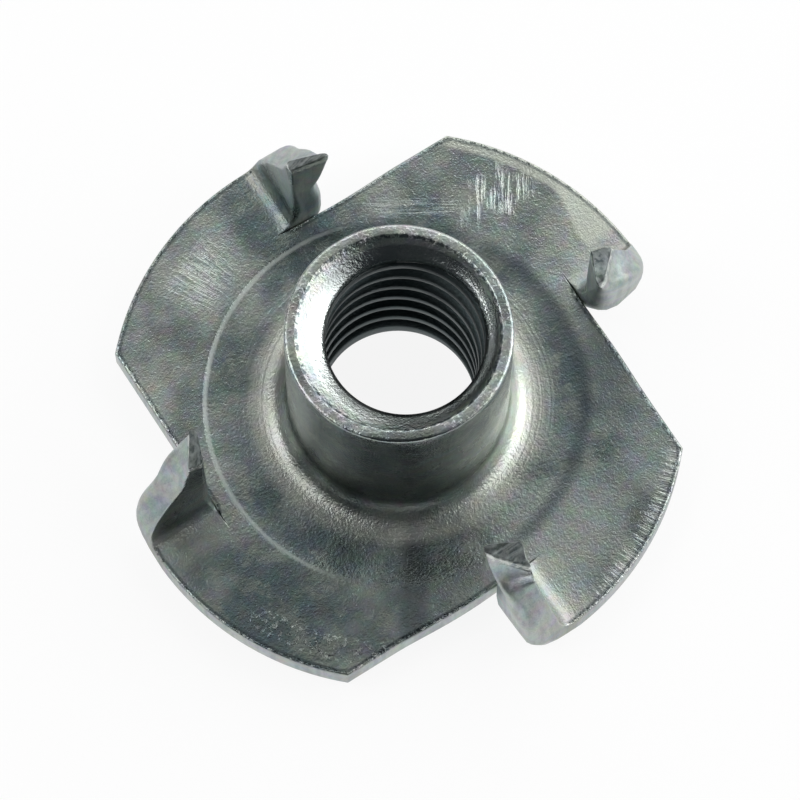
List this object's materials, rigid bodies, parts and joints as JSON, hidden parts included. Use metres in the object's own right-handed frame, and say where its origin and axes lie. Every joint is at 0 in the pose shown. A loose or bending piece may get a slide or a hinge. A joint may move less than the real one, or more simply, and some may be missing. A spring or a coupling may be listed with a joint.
{
  "type": "tee nut",
  "caption": "Pronged tee nut stamped from one piece of sheet steel: round flange, drawn barrel with a threaded bore, and bent-up prongs that bite into wood.",
  "frame": {"origin": "centre of the flange's flat underside, on the bore's axis", "axes": "+Z along the barrel and the prongs, away from the flange; +Y out to the middle of one prong's cut"},
  "size_m": [0.019, 0.019, 0.0082],
  "materials": {
    "zinc_steel": "bright zinc plate over stamped steel, slightly mottled"
  },
  "bodies": {
    "root": {"tee_nut": "zinc_steel"}
  },
  "joints": []
}
